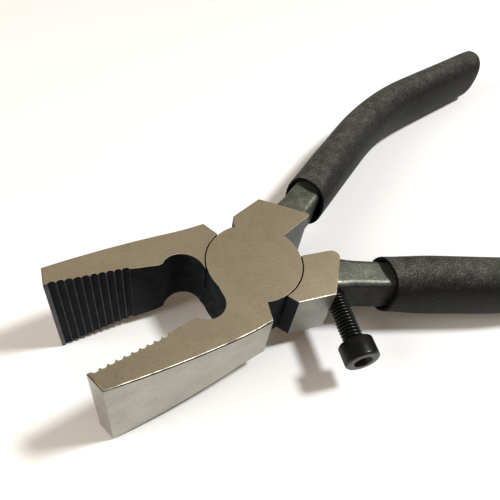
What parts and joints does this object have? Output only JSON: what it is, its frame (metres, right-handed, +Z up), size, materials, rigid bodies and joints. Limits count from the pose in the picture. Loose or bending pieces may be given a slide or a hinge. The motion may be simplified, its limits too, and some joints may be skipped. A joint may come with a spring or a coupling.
{
  "type": "running pliers",
  "caption": "Running pliers for snapping scored glass: crossed forgings with deep ribbed jaws, flush rivet, sleeved handles and a stop screw that limits the closing.",
  "frame": {"origin": "where the hinge axis meets the flat underside of the joint", "axes": "+Z up along the hinge axis, out of the upper disc; -X towards the jaw tips; +X towards the handles; the stop screw is on the -Y side"},
  "size_m": [0.2095, 0.1226, 0.0301],
  "materials": {
    "forged_steel": "ground flats, dark forged tangs",
    "rivet_steel": "ground flush with the joint",
    "black_oxide_screw": "black oxide, satin",
    "grip_rubber": "matte, softly grained"
  },
  "bodies": {
    "base": {"base_half": "forged_steel", "pivot_rivet": "rivet_steel", "base_grip": "grip_rubber"},
    "top": {"top_half": "forged_steel", "top_grip": "grip_rubber"},
    "screw": {"stop_screw": "black_oxide_screw"}
  },
  "joints": [
    {"name": "jaw_hinge", "type": "hinge", "parent": "base", "child": "top", "pos_m": [0, 0, 0.00835], "axis": [0, 0, 1], "range_deg": [-27.2, 24]},
    {"name": "stop_screw_travel", "type": "slide", "parent": "base", "child": "screw", "axis": [-0.2756, -0.9613, 0], "range_m": [-0.0018, 0.006]}
  ]
}
